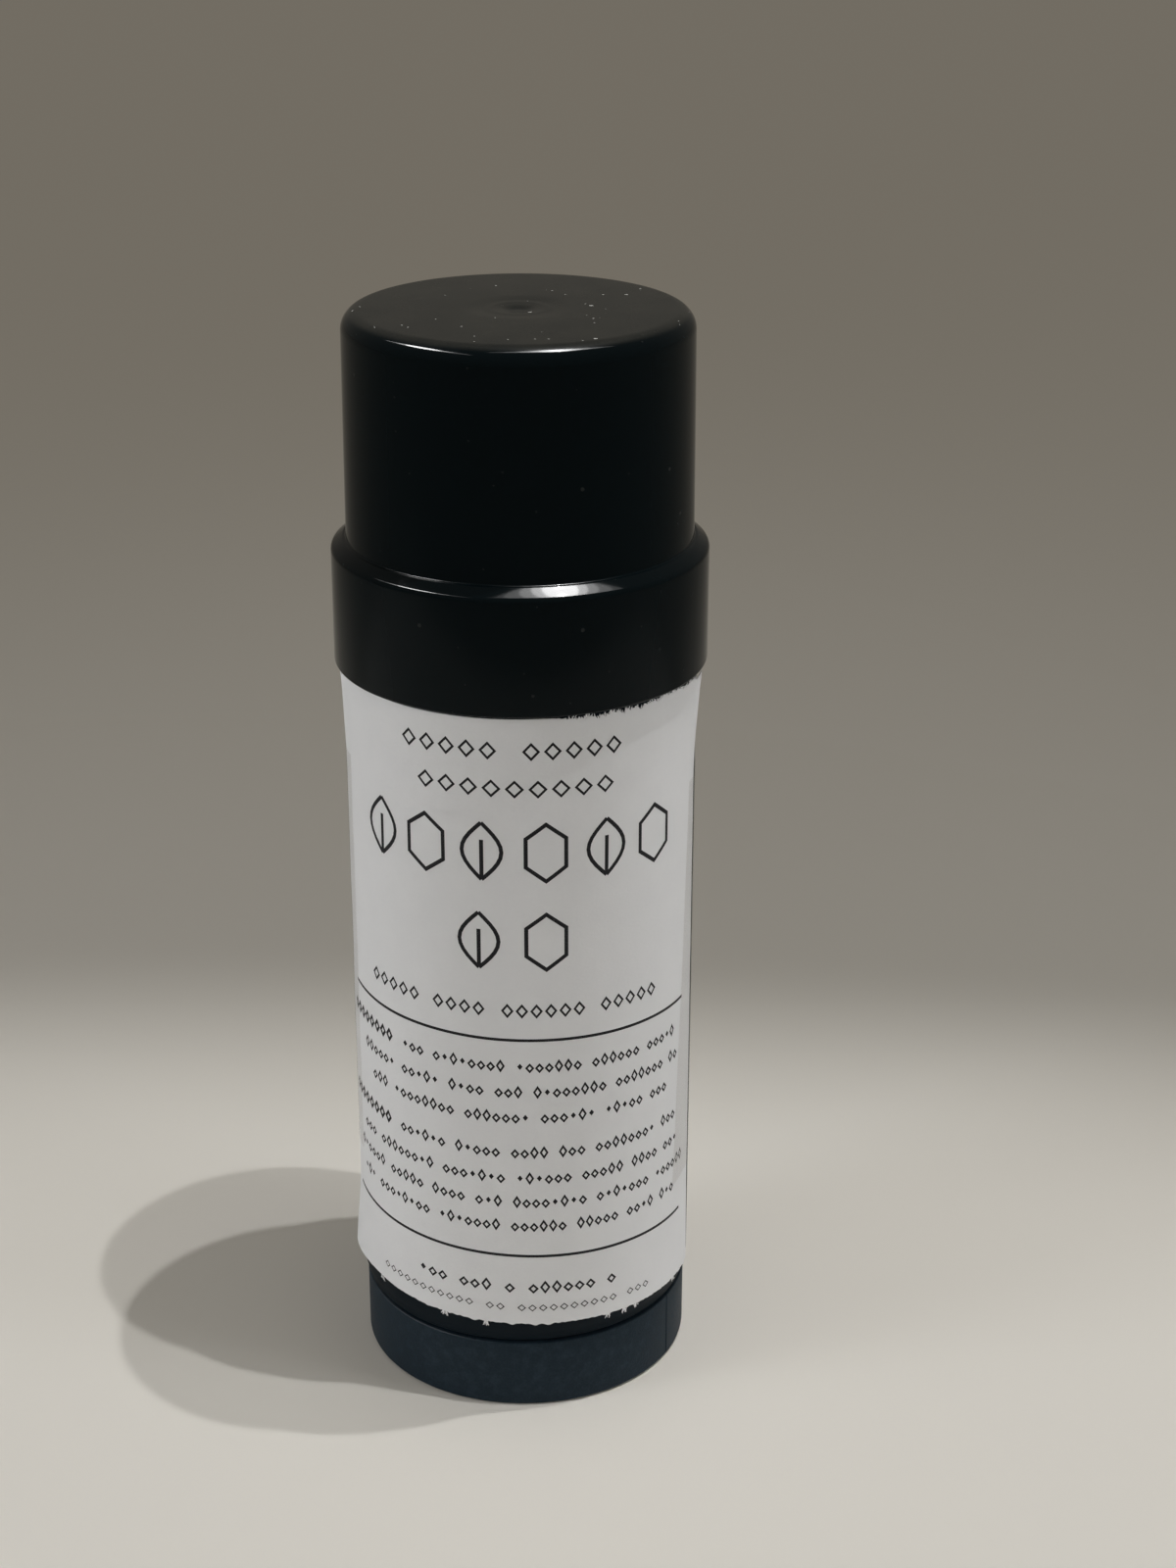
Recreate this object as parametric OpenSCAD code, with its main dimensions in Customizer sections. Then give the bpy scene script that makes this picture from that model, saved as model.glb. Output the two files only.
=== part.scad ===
/* [Barrel] */
// Inside diameter of the barrel, in which the bar slides
bore_d = 34.5; // [30:0.1:45]
// Wall thickness of the barrel
barrel_wall = 1.6; // [1.4:0.1:2.5]
// Height of the barrel from its foot to the shoulder where the cap sits
barrel_h = 74.9; // [60:0.1:110]
// How far the foot of the barrel is set in from the barrel wall
foot_step = 0.35; // [0.1:0.05:0.6]
// Height of the set-in foot, with its taper
foot_h = 1.6; // [1:0.1:2]
// Height of the neck above the shoulder
neck_h = 11.9; // [8:0.1:16]
// How far the neck is set in from the barrel wall
neck_step = 0.55; // [0.4:0.05:0.7]
// Height of the small bead round the neck that grips the cap
bead_proud = 0.1; // [0.05:0.01:0.12]
// Width of that bead
bead_w = 1.2; // [0.8:0.1:2]
// Thickness of the floor inside the barrel
floor_t = 1.4; // [1:0.1:2.5]
// Height of that floor above the foot of the barrel
floor_up = 2.8; // [2.2:0.1:4]
// Number of ribs inside the barrel that stop the bar turning
rib_n = 4; // [2:1:6]
// Width of one rib
rib_w = 1.2; // [0.8:0.1:2]
// How far a rib stands in from the bore
rib_proud = 0.8; // [0.5:0.1:1.2]
// Distance from the top of the ribs to the rim of the neck
rib_drop = 5.4; // [4:0.1:8]

/* [Knob] */
// Height of the twist knob
knob_h = 8.2; // [7:0.1:12]
// Wall thickness of the knob
knob_wall = 1.5; // [1.2:0.1:2]
// Thickness of the knob's closed bottom
knob_floor = 1.4; // [1:0.1:2]
// Depth of the hollow under the knob, inside its foot ring
foot_hollow = 0.6; // [0.3:0.1:1]
// Width of the foot ring that the stick stands on
foot_ring_w = 2.2; // [1.5:0.1:4]
// Radius of the knob's rounded lower edge
knob_edge = 0.5; // [0.2:0.1:1]
// Open seam between the knob and the barrel
seam = 0.4; // [0.2:0.05:0.8]
// Height of the lip that centres the knob inside the foot of the barrel
lip_up = 1.6; // [0.8:0.1:1.9]
// Thickness of that lip
lip_t = 1.2; // [0.8:0.1:2]
// Number of stiffening webs inside the knob
web_n = 6; // [3:1:10]
// Thickness of one web
web_t = 1; // [0.8:0.1:1.6]
// Wall of the hub that holds the spindle
hub_wall = 1.8; // [1.2:0.1:3]
// Direction of the mould witness line, in degrees to the right of the front
witness_turn = 61; // [0:1:360]
// Width of the witness line
witness_w = 0.25; // [0.15:0.05:0.6]
// Depth of the witness line
witness_deep = 0.12; // [0.05:0.01:0.3]

/* [Spindle] */
// Outside diameter of the lifting thread
thread_d = 7.2; // [6:0.1:9]
// Depth of the thread
thread_deep = 1; // [0.6:0.1:1.3]
// Rise of the thread in one turn
lead = 6; // [4:0.5:10]
// Number of thread starts
starts = 2; // [1:1:3]
// Diameter of the flange that bears on the barrel floor
flange_d = 16; // [13:0.5:20]
// Thickness of the flange
flange_t = 1.2; // [0.8:0.1:2]
// Thickness of the bar left above the spindle's end
spindle_cover = 4.7; // [2:0.1:10]

/* [Elevator] */
// Thickness of the plate under the bar
plate_t = 1.4; // [1:0.1:2.5]
// Height of the threaded boss below the plate
boss_h = 5.2; // [4:0.1:9]
// Wall of the threaded boss
boss_wall = 1.8; // [1.2:0.1:3]
// Height of the guide skirt below the plate
guide_h = 3.2; // [2:0.1:3.8]
// Wall of the guide skirt
guide_wall = 1.2; // [0.8:0.1:2]
// Diameter of the ring that anchors the bar
anchor_d = 22; // [18:0.5:26]
// Wall of the anchor ring
anchor_wall = 1; // [0.8:0.1:2]
// Height of the anchor ring
anchor_h = 4; // [2:0.1:8]
// Width of the gaps in the anchor ring
anchor_gap = 5; // [2:0.5:8]

/* [Bar] */
// Gap from the top of the poured bar to the rim of the neck
fill_gap = 2.4; // [1:0.1:6]
// Depth of the dip where the poured top sank as it set
bar_dip = 0.7; // [0.2:0.1:1.5]
// Radius of the bar's softened top edge
bar_edge = 1; // [0.5:0.1:3]

/* [Cap] */
// Wall thickness of the cap's skirt
skirt_wall = 1.5; // [1:0.1:2.5]
// How far the cap's head is set in from the skirt
head_step = 1.62; // [1.4:0.01:2]
// Height of the head above the ledge
head_h = 23.93; // [15:0.01:40]
// Wall thickness of the head
head_wall = 1.43; // [1:0.01:2]
// Thickness of the cap's flat top
top_t = 1.4; // [1:0.1:2.5]
// Thickness of the ledge between skirt and head
ledge_t = 1.44; // [1:0.01:2.5]
// Inward draft of the head over its height
head_draft = 0.12; // [0:0.01:0.5]
// Radius of the rounded top edge
top_round = 2.05; // [1:0.05:3]
// Width of the rounded shoulder on the skirt
shoulder_w = 1.38; // [0.8:0.01:1.4]
// Height of the rounded shoulder on the skirt
shoulder_h = 2.3; // [1:0.1:4]
// Diameter of the shallow dish in the top
dish_d = 12; // [6:0.5:24]
// Depth of that dish
dish_deep = 0.15; // [0.05:0.01:0.4]
// Diameter of the moulding gate pit in the middle of the top
gate_d = 1.1; // [0.6:0.1:3]
// Depth of the gate pit
gate_deep = 0.3; // [0.1:0.05:0.6]

/* [Label] */
// Thickness of the paper label
label_t = 0.15; // [0.08:0.01:0.3]
// Width of the paper, measured round the barrel
label_w = 54; // [40:0.1:60]
// How far the middle of the paper lies to the left of the front, round the barrel
label_shift = 1; // [0:0.1:4]
// Gap between the paper and the shoulder
label_gap = 0.2; // [0.1:0.1:2]
// Height of the paper's lower edge above the foot of the barrel, at the front
label_up = 2.6; // [2.5:0.1:10]
// Slope of the hand-cut lower edge, in degrees, down to the right
label_slope = 2.5; // [0:0.1:2.8]

/* [Tape] */
// Thickness of the clear tape
tape_t = 0.1; // [0.05:0.01:0.2]
// Width of the tape, along the barrel
tape_w = 48; // [20:1:55]
// Height of the tape's lower edge above the foot of the barrel
tape_up = 16.5; // [12:0.1:20]
// Length of paper that the tape covers at its left edge
tape_lap_left = 3.6; // [2:0.1:8]
// Length of paper that the tape covers at its right edge
tape_lap_right = 4.1; // [2:0.1:8]

/* [Clearances] */
// Clearance of the bar and the elevator in the bore
slide_gap = 0.3; // [0.2:0.05:0.5]
// Clearance beside and in front of a rib
rib_gap = 0.3; // [0.2:0.05:0.5]
// Clearance of the thread in the elevator
thread_play = 0.2; // [0.15:0.01:0.3]
// Clearance of the bar round the spindle
core_gap = 0.3; // [0.2:0.05:0.6]
// Running clearance on both sides of the barrel floor
run_gap = 0.15; // [0.1:0.05:0.3]
// Clearance of the spindle's journal in the floor
journal_gap = 0.2; // [0.1:0.05:0.4]
// Clearance of the knob's lip in the barrel
lip_gap = 0.3; // [0.2:0.05:0.5]
// Clearance of the spindle's tail in the hub
tail_gap = 0.05; // [0.02:0.01:0.1]
// Gap between the lowered elevator and the flange
rest_gap = 0.4; // [0.2:0.1:1]
// Clearance of the cap's skirt on the neck
cap_fit = 0.2; // [0.15:0.01:0.3]
// Gap between the cap's lower edge and the shoulder
seat_gap = 0.1; // [0.05:0.05:0.3]
// Gap between the rim of the neck and the cap's ledge
rim_gap = 0.3; // [0.1:0.1:0.6]
// Clearance of the bar round the anchor ring
anchor_play = 0.05; // [0.02:0.01:0.2]
// Thickness of the paste under the paper
paste_t = 0.02; // [0.01:0.01:0.05]

/* [Hidden] */
turn_fn = 96;
over = 1;

bore_r = bore_d / 2;
barrel_r = bore_r + barrel_wall;
foot_r = barrel_r - foot_step;
neck_r = barrel_r - neck_step;
foot_z = knob_h + seam;
floor_z = foot_z + floor_up;
floor_top = floor_z + floor_t;
shoulder_z = foot_z + barrel_h;
rim_z = shoulder_z + neck_h;
rib_top = rim_z - rib_drop;
foot_taper = foot_h / 3;
rim_chamfer = 0.3;
floor_chamfer = 0.8;
bead_z = shoulder_z + neck_h * 0.4;

thread_r = thread_d / 2;
root_r = thread_r - thread_deep;
journal_r = thread_r;
floor_hole_r = journal_r + journal_gap;
tail_r = journal_r - 0.3;
tail_floor = foot_hollow + knob_floor + 1;
hub_top = floor_z - run_gap;
flange_z = floor_top + run_gap;
thread_z = flange_z + flange_t;
slices_per_turn = 16;

boss_z = thread_z + rest_gap;
plate_z = boss_z + boss_h;
bar_z = plate_z + plate_t;
bar_top = rim_z - fill_gap;
spindle_top = bar_top - spindle_cover;
elevator_r = bore_r - slide_gap;
bar_r = bore_r - slide_gap;
core_r = thread_r + core_gap;
boss_r = thread_r + thread_play + boss_wall;

knob_r = foot_r;
knob_in_r = knob_r - knob_wall;
lip_r = bore_r - lip_gap;
hub_r = tail_r + tail_gap + hub_wall;
web_top = knob_h - lip_t;

cap_z = shoulder_z + seat_gap;
skirt_in_r = neck_r + cap_fit;
skirt_r = skirt_in_r + skirt_wall;
ledge_z = rim_z + rim_gap + ledge_t;
head_r = skirt_r - head_step;
head_in_r = head_r - head_wall;
cap_top = ledge_z + head_h;
ceiling_z = cap_top - top_t;
skirt_edge = 0.3;
lead_in = 0.3;
inner_round = 1;

paper_in_r = barrel_r + paste_t;
paper_r = paper_in_r + label_t;
label_top = shoulder_z - label_gap;
label_z = foot_z + label_up;
tape_z = foot_z + tape_up;

// Angle at the barrel's axis of a length of paper
function paper_angle(length) = length / paper_in_r * 180 / PI;

paper_from = -paper_angle(label_w / 2 + label_shift);
paper_to = paper_angle(label_w / 2 - label_shift);
tape_from = paper_to - paper_angle(tape_lap_right);
tape_to = paper_from + 360 + paper_angle(tape_lap_left);

// Points of an elliptical arc with its centre at [cx, cz]
function arc(cx, cz, rx, rz, from, to, steps = 8) =
    [for (i = [0:steps]) let (a = from + (to - from) * i / steps) [cx + rx * cos(a), cz + rz * sin(a)]];

// Outline of the thread across the spindle, with flat roots and crests; grow is the running clearance
function thread_outline(grow = 0) = [
    for (s = [0:starts - 1]) for (p = [
        [0.00, root_r], [0.15, root_r], [0.30, root_r],
        [0.50, thread_r], [0.65, thread_r], [0.80, thread_r]
    ]) let (widen = (p[0] == 0.5 ? -1 : p[0] == 0.8 ? 1 : 0) * grow * 0.15, a = (s + p[0] + widen) * 360 / starts)
        [(p[1] + grow) * cos(a), (p[1] + grow) * sin(a)]
];

// A stretch of the lifting thread between two heights, in step with the spindle's own
module thread(low, high, grow = 0) {
    turns = (high - low) / lead;
    translate([0, 0, low])
        rotate([0, 0, 360 * (low - thread_z) / lead])
        linear_extrude(height = high - low, twist = -360 * turns, slices = ceil(turns * slices_per_turn))
        polygon(thread_outline(grow));
}

// A thin wall of one radius that follows the barrel from one angle to another
module wrap(in_r, out_r, low, high, from, to) {
    rotate([0, 0, from - 90])
        rotate_extrude(angle = to - from, $fn = turn_fn)
        translate([in_r, low])
        square([out_r - in_r, high - low]);
}

// The ribs in the bore, or the room for them when gap is given
module ribs(low, high, gap = 0) {
    for (i = [0:rib_n - 1])
        rotate([0, 0, (i + 0.5) * 360 / rib_n])
        translate([bore_r - rib_proud - gap, -rib_w / 2 - gap, low])
        cube([rib_proud + gap + barrel_wall / 2, rib_w + 2 * gap, high - low]);
}

// The ring that the bar is poured round, with its gaps; play widens it for the bar's recess
module anchor(play = 0) {
    difference() {
        translate([0, 0, bar_z - play])
            cylinder(r = anchor_d / 2 + play, h = anchor_h + 2 * play, $fn = turn_fn);
        translate([0, 0, bar_z - over])
            cylinder(r = anchor_d / 2 - anchor_wall - play, h = anchor_h + 2 * over, $fn = turn_fn);
        for (turn = [0, 90])
            rotate([0, 0, turn])
            translate([-anchor_d, -anchor_gap / 2 + play, bar_z - over])
            cube([2 * anchor_d, anchor_gap - 2 * play, anchor_h + 2 * over]);
    }
}

module cap() {
    color("#101012")
    difference() {
        rotate_extrude($fn = turn_fn)
            polygon(concat(
                [[skirt_in_r + lead_in, cap_z], [skirt_r - skirt_edge, cap_z]],
                [[skirt_r, cap_z + skirt_edge]],
                arc(skirt_r - shoulder_w, ledge_z - shoulder_h, shoulder_w, shoulder_h, 0, 90),
                [[head_r, ledge_z]],
                arc(head_r - head_draft - top_round, cap_top - top_round, top_round, top_round, 0, 90),
                [[dish_d / 2, cap_top], [dish_d / 2 - 5 * dish_deep, cap_top - dish_deep], [0, cap_top - dish_deep]],
                [[0, ceiling_z]],
                arc(head_in_r - head_draft - inner_round, ceiling_z - inner_round, inner_round, inner_round, 90, 0, 4),
                [[head_in_r, rim_z + rim_gap], [skirt_in_r, rim_z + rim_gap], [skirt_in_r, cap_z + lead_in]]
            ));
        translate([0, 0, cap_top - dish_deep - gate_deep])
            cylinder(d1 = gate_d / 2, d2 = gate_d, h = gate_deep + dish_deep, $fn = 24);
    }
}

module barrel() {
    color("#141416")
    union() {
        rotate_extrude($fn = turn_fn)
            polygon([
                [bore_r, foot_z], [foot_r, foot_z], [foot_r, foot_z + foot_h - foot_taper],
                [barrel_r, foot_z + foot_h], [barrel_r, shoulder_z], [neck_r, shoulder_z],
                [neck_r, bead_z - bead_w / 2], [neck_r + bead_proud, bead_z], [neck_r, bead_z + bead_w / 2],
                [neck_r, rim_z - rim_chamfer], [neck_r - rim_chamfer, rim_z], [bore_r, rim_z],
                [bore_r, floor_top + floor_chamfer], [bore_r - floor_chamfer, floor_top],
                [floor_hole_r, floor_top], [floor_hole_r, floor_z], [bore_r, floor_z]
            ]);
        ribs(floor_top, rib_top);
    }
}

module label() {
    color("#e4e3e2")
    difference() {
        wrap(paper_in_r, paper_r, foot_z, label_top, paper_from, paper_to);
        translate([0, 0, label_z])
            rotate([0, label_slope, 0])
            translate([-2 * barrel_r, -2 * barrel_r, -2 * label_up])
            cube([4 * barrel_r, 4 * barrel_r, 2 * label_up]);
    }
}

module tape() {
    color("#c8ccc8", 0.5)
    wrap(paper_r, paper_r + tape_t, tape_z, tape_z + tape_w, tape_from, tape_to);
}

module knob() {
    color("#1e2227")
    difference() {
        union() {
            rotate_extrude($fn = turn_fn)
                polygon(concat(
                    [[0, foot_hollow], [knob_r - foot_ring_w - foot_hollow, foot_hollow], [knob_r - foot_ring_w, 0]],
                    arc(knob_r - knob_edge, knob_edge, knob_edge, knob_edge, -90, 0, 4),
                    [[knob_r, knob_h], [lip_r, knob_h], [lip_r, foot_z + lip_up], [lip_r - lip_t, foot_z + lip_up]],
                    [[lip_r - lip_t, web_top], [knob_in_r, web_top], [knob_in_r, foot_hollow + knob_floor]],
                    [[0, foot_hollow + knob_floor]]
                ));
            translate([0, 0, foot_hollow])
                cylinder(r = hub_r, h = hub_top - foot_hollow, $fn = turn_fn);
            for (i = [0:web_n - 1])
                rotate([0, 0, i * 360 / web_n])
                translate([0, -web_t / 2, foot_hollow])
                cube([knob_r - knob_wall / 2, web_t, web_top - foot_hollow]);
        }
        translate([0, 0, tail_floor])
            cylinder(r = tail_r + tail_gap, h = hub_top, $fn = 6);
        rotate([0, 0, witness_turn - 90])
            translate([knob_r - witness_deep, -witness_w / 2, -over])
            cube([over, witness_w, knob_h + 2 * over]);
    }
}

module spindle() {
    color("#e9e7e1")
    union() {
        translate([0, 0, tail_floor])
            cylinder(r = tail_r, h = hub_top - tail_floor + run_gap, $fn = 6);
        translate([0, 0, hub_top])
            cylinder(r = journal_r, h = flange_z - hub_top + flange_t / 2, $fn = turn_fn);
        translate([0, 0, flange_z])
            cylinder(d = flange_d, h = flange_t, $fn = turn_fn);
        thread(thread_z, spindle_top);
    }
}

module elevator() {
    color("#e9e7e1")
    difference() {
        union() {
            translate([0, 0, plate_z])
                cylinder(r = elevator_r, h = plate_t, $fn = turn_fn);
            translate([0, 0, boss_z])
                cylinder(r = boss_r, h = boss_h + plate_t / 2, $fn = turn_fn);
            difference() {
                translate([0, 0, plate_z - guide_h])
                    cylinder(r = elevator_r, h = guide_h + plate_t / 2, $fn = turn_fn);
                translate([0, 0, plate_z - guide_h - over])
                    cylinder(r = elevator_r - guide_wall, h = guide_h + over, $fn = turn_fn);
            }
            for (turn = [0, 90])
                rotate([0, 0, turn])
                translate([-elevator_r + guide_wall / 2, -web_t / 2, plate_z - guide_h / 2])
                cube([2 * elevator_r - guide_wall, web_t, guide_h / 2 + plate_t / 2]);
            anchor();
        }
        thread(boss_z - over, bar_z + over, thread_play);
        ribs(plate_z - guide_h - over, bar_z + over, rib_gap);
    }
}

module butter_bar() {
    color("#f1e6c4")
    difference() {
        rotate_extrude($fn = turn_fn)
            polygon(concat(
                [[core_r, bar_z], [bar_r, bar_z]],
                arc(bar_r - bar_edge, bar_top - bar_edge, bar_edge, bar_edge, 0, 90),
                [[bar_r * 0.6, bar_top - bar_dip * 0.7], [0, bar_top - bar_dip]],
                [[0, spindle_top + core_gap], [core_r, spindle_top + core_gap]]
            ));
        ribs(bar_z - over, rib_top + rib_gap, rib_gap);
        anchor(anchor_play);
    }
}

cap();
barrel();
label();
tape();
knob();
spindle();
elevator();
butter_bar();
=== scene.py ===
import math
import random

import bmesh
import bpy
from mathutils import Matrix, Vector, noise


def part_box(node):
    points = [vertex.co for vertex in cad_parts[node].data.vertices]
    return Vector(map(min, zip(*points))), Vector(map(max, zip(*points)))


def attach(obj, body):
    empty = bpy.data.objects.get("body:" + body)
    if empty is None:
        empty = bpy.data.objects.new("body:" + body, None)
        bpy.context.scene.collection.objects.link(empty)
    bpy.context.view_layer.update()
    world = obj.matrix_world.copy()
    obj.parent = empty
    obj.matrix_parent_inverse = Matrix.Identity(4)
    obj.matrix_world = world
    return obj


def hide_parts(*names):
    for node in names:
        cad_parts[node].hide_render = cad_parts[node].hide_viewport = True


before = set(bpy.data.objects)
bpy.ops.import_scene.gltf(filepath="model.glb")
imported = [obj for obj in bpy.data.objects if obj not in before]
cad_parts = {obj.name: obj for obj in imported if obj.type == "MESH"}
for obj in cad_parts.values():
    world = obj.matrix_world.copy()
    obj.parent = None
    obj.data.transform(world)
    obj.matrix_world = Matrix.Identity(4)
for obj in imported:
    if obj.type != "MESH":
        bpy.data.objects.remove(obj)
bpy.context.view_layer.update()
mm = 0.001
weld = 0.0005 * mm  # points nearer than this are one
front = -math.pi / 2  # angle round the tube at which the label faces
print("frame loaded")


class Wire:  # a node socket that takes part in sums
    def __init__(self, tree, socket):
        self.tree, self.socket = tree, socket

    def sum(self, operation, *values):
        node = self.tree.nodes.new("ShaderNodeMath")
        node.operation = operation
        for slot, value in zip(node.inputs, values):
            connect(self.tree, slot, value)
        return Wire(self.tree, node.outputs[0])

    def __add__(self, other):
        return self.sum("ADD", self, other)

    def __radd__(self, other):
        return self.sum("ADD", other, self)

    def __mul__(self, other):
        return self.sum("MULTIPLY", self, other)

    def __rmul__(self, other):
        return self.sum("MULTIPLY", other, self)

    def __pow__(self, other):
        return self.sum("POWER", self, other)

    def __gt__(self, other):
        return self.sum("GREATER_THAN", self, other)

    def __lt__(self, other):
        return self.sum("LESS_THAN", self, other)


def connect(tree, slot, value):
    if isinstance(value, Wire):
        tree.links.new(value.socket, slot)
    else:
        slot.default_value = value


class Finish:  # one node material, with its shader and its object coordinates
    def __init__(self, name, colour, roughness, **sockets):
        self.material = bpy.data.materials.new(name)
        self.material.use_nodes = True
        self.tree = self.material.node_tree
        self.shader = self.tree.nodes["Principled BSDF"]
        self.place = Wire(self.tree, self.tree.nodes.new("ShaderNodeTexCoord").outputs["Object"])
        self.set("Base Color", (*colour, 1))
        self.set("Roughness", roughness)
        for socket, value in sockets.items():
            self.set(socket.replace("_", " "), value)

    def set(self, socket, value):
        connect(self.tree, self.shader.inputs[socket], value)

    def add(self, kind, settings=None, values=None, out=0):
        node = self.tree.nodes.new("ShaderNode" + kind)
        for name, value in (settings or {}).items():
            setattr(node, name, value)
        for socket, value in (values or {}).items():
            connect(self.tree, node.inputs[socket], value)
        return Wire(self.tree, node.outputs[out])

    def noise(self, scale, detail=2.0, stretch=(1, 1, 1)):
        place = self.add("Mapping", None, {"Vector": self.place, "Scale": stretch})
        return self.add("TexNoise", None, {"Vector": place, "Scale": scale, "Detail": detail})

    def ramp(self, factor, low, high):  # 0 below low, 1 above high, smooth between
        values = {"Value": factor, "From Min": low, "From Max": high}
        return self.add("MapRange", {"interpolation_type": "SMOOTHSTEP"}, values)

    def least(self, *values):
        return values[0].sum("MINIMUM", *values)

    def height(self):  # height up the tube
        return self.add("SeparateXYZ", None, {"Vector": self.place}, out=2)

    def mix(self, factor, *colours):  # between two colours, given as numbers or as wires
        ends = [colour if isinstance(colour, Wire) else (*colour, 1) for colour in colours]
        return self.add("Mix", {"data_type": "RGBA"}, {0: factor, 6: ends[0], 7: ends[1]}, out=2)

    def bump(self, height, depth, strength=1.0):
        values = {"Height": height, "Distance": depth, "Strength": strength}
        self.set("Normal", self.add("Bump", None, values))


def specks(finish, size, share, shift):
    # small bent grains: 1 on the middle of a few Voronoi cells, else 0; share is the part of the cells
    place = finish.add("Mapping", None, {"Vector": finish.place, "Location": (shift, 0, 0)})
    warp = finish.add("TexNoise", None, {"Vector": place, "Scale": 1.2 / size, "Detail": 2.0}, out=1)
    bent = finish.add("Mix", {"data_type": "VECTOR"}, {0: 0.8 * size, 4: place, 5: warp}, out=1)
    cells = {"Vector": bent, "Scale": 1 / (6 * size)}
    near = finish.add("TexVoronoi", None, cells, out=0)
    tint = finish.add("TexVoronoi", None, cells, out=1)
    chance = finish.add("SeparateColor", None, {"Color": tint}, out=0)
    return (near < 0.17) * (chance > 1 - share)


def capFinish():
    # the paler colour for the cap's top is partly dust and partly painted sheen in place of the top's
    # reflection
    black, dustAndSheen = (0.0022, 0.0048, 0.006), (0.0205, 0.021, 0.0183)
    gloss = Finish("capBlackGloss", black, 0.1, Specular_IOR_Level=0.08)
    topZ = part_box("cap")[1].z
    onTop = gloss.ramp(gloss.height(), topZ - 0.6 * mm, topZ - 0.15 * mm)
    big = specks(gloss, 0.21 * mm, 0.02, 0.0) * (0.15 + onTop)
    small = specks(gloss, 0.11 * mm, 0.035, 0.3) * (0.12 + onTop * 0.9)
    film = gloss.noise(190, 5.0) * 0.7 + gloss.noise(4000, 2.0) * 0.6
    smear = gloss.ramp(gloss.noise(420, 4.0, (1, 1, 0.6)), 0.6, 0.8)
    grime = gloss.ramp(big + small + smear * (0.01 + onTop * 0.04), 0.0, 1.2)
    # the top is painted paler by a mottled film that is partly dust and partly painted sheen
    plain = gloss.mix(onTop * film * 1.25, black, dustAndSheen)
    gloss.set("Base Color", gloss.mix(grime, plain, (0.45, 0.45, 0.43)))
    gloss.set("Roughness", 0.07 + onTop * 0.2 + smear * 0.05 + grime * 0.5)
    gloss.bump(gloss.noise(90, 1.0) * 0.4 + gloss.noise(2600, 2.0) * (0.008 + onTop * 0.03), 0.05 * mm)
    return gloss.material


def barrelFinish():
    smooth = Finish("barrelBlack", (0.0045, 0.009, 0.0135), 0.5, Specular_IOR_Level=0.06)
    smooth.set("Roughness", 0.42 + smooth.noise(500) * 0.14)
    smooth.bump(smooth.noise(3800, 3.0), 0.006 * mm)
    return smooth.material


def knobFinish():
    satin = Finish("knobSatinBlack", (0.016, 0.0275, 0.04), 0.5, Specular_IOR_Level=0.12)
    grain = satin.noise(4200, 4.0)
    scuff = satin.ramp(satin.noise(900, 6.0), 0.42, 0.75)
    shade = scuff * 0.6 + satin.ramp(grain, 0.35, 0.7) * 0.4
    satin.set("Base Color", satin.mix(shade, (0.0105, 0.02, 0.0295), (0.0215, 0.036, 0.051)))
    satin.set("Roughness", 0.44 + grain * 0.16 + scuff * 0.08)
    satin.bump(grain, 0.03 * mm)
    return satin.material


def paperFinish():
    paper = Finish("whitePaper", (0.77, 0.775, 0.79), 0.85, Specular_IOR_Level=0.25)
    fibre = paper.noise(2400, 5.0, (1, 1, 1.6))
    cloud = paper.noise(260, 3.0)
    paper.set("Base Color", paper.mix(cloud * 0.6 + fibre * 0.4, (0.735, 0.742, 0.765), (0.8, 0.806, 0.82)))
    paper.set("Roughness", 0.78 + fibre * 0.15)
    paper.bump(fibre + cloud * 0.7, 0.018 * mm)
    return paper.material


def inkFinish():
    ink = Finish("blackInk", (0.012, 0.012, 0.015), 0.6, Specular_IOR_Level=0.25)
    wear = ink.noise(5200, 4.0)
    ink.set("Base Color", ink.mix(ink.ramp(wear, 0.55, 0.9), (0.009, 0.009, 0.012), (0.07, 0.07, 0.08)))
    ink.set("Roughness", 0.5 + wear * 0.25)
    return ink.material


def tapeFinish():
    # a clear film: what it mirrors over what lies under it
    film = Finish("clearTape", (0.92, 0.94, 0.92), 0.08, Metallic=1.0)
    ripple = film.noise(240, 2.0, (1, 1, 0.12))
    film.set("Roughness", 0.06 + ripple * 0.06)
    film.bump(ripple, 0.02 * mm)
    clear = film.add("BsdfTransparent", None, {"Color": (0.97, 0.967, 0.964, 1)})
    glance = film.least(film.add("Fresnel", None, {"IOR": 1.4}) * 0.8, 0.06)
    trapped = film.ramp(film.noise(330, 4.0, (1, 1, 0.5)), 0.58, 0.72)
    mirror = Wire(film.tree, film.shader.outputs[0])
    mixed = film.add("MixShader", None, {0: glance + trapped * 0.02, 1: clear, 2: mirror})
    film.tree.links.new(mixed.socket, film.tree.nodes["Material Output"].inputs["Surface"])
    return film.material


def innerFinish():
    natural = Finish("naturalPlastic", (0.78, 0.76, 0.7), 0.42)
    flow = natural.noise(180, 3.0, (1, 1, 0.4))
    natural.set("Base Color", natural.mix(flow, (0.73, 0.71, 0.65), (0.83, 0.81, 0.76)))
    natural.set("Roughness", 0.36 + flow * 0.14)
    natural.bump(natural.noise(3000, 2.0), 0.01 * mm)
    return natural.material


def butterFinish():
    butter = Finish("setButter", (0.88, 0.8, 0.6), 0.55, Specular_IOR_Level=0.35, Subsurface_Weight=0.25,
                    Subsurface_Scale=0.002)
    cloud = butter.noise(110, 4.0)
    grit = butter.noise(1500, 5.0)
    butter.set("Base Color", butter.mix(cloud, (0.83, 0.74, 0.52), (0.9, 0.83, 0.65)))
    butter.set("Roughness", 0.48 + grit * 0.25)
    butter.bump(grit + butter.noise(320, 3.0) * 1.5, 0.09 * mm)
    return butter.material


def floorFinish():
    plain = Finish("paleFloor", (0.74, 0.715, 0.665), 0.55, Specular_IOR_Level=0.0)
    return plain.material


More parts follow.
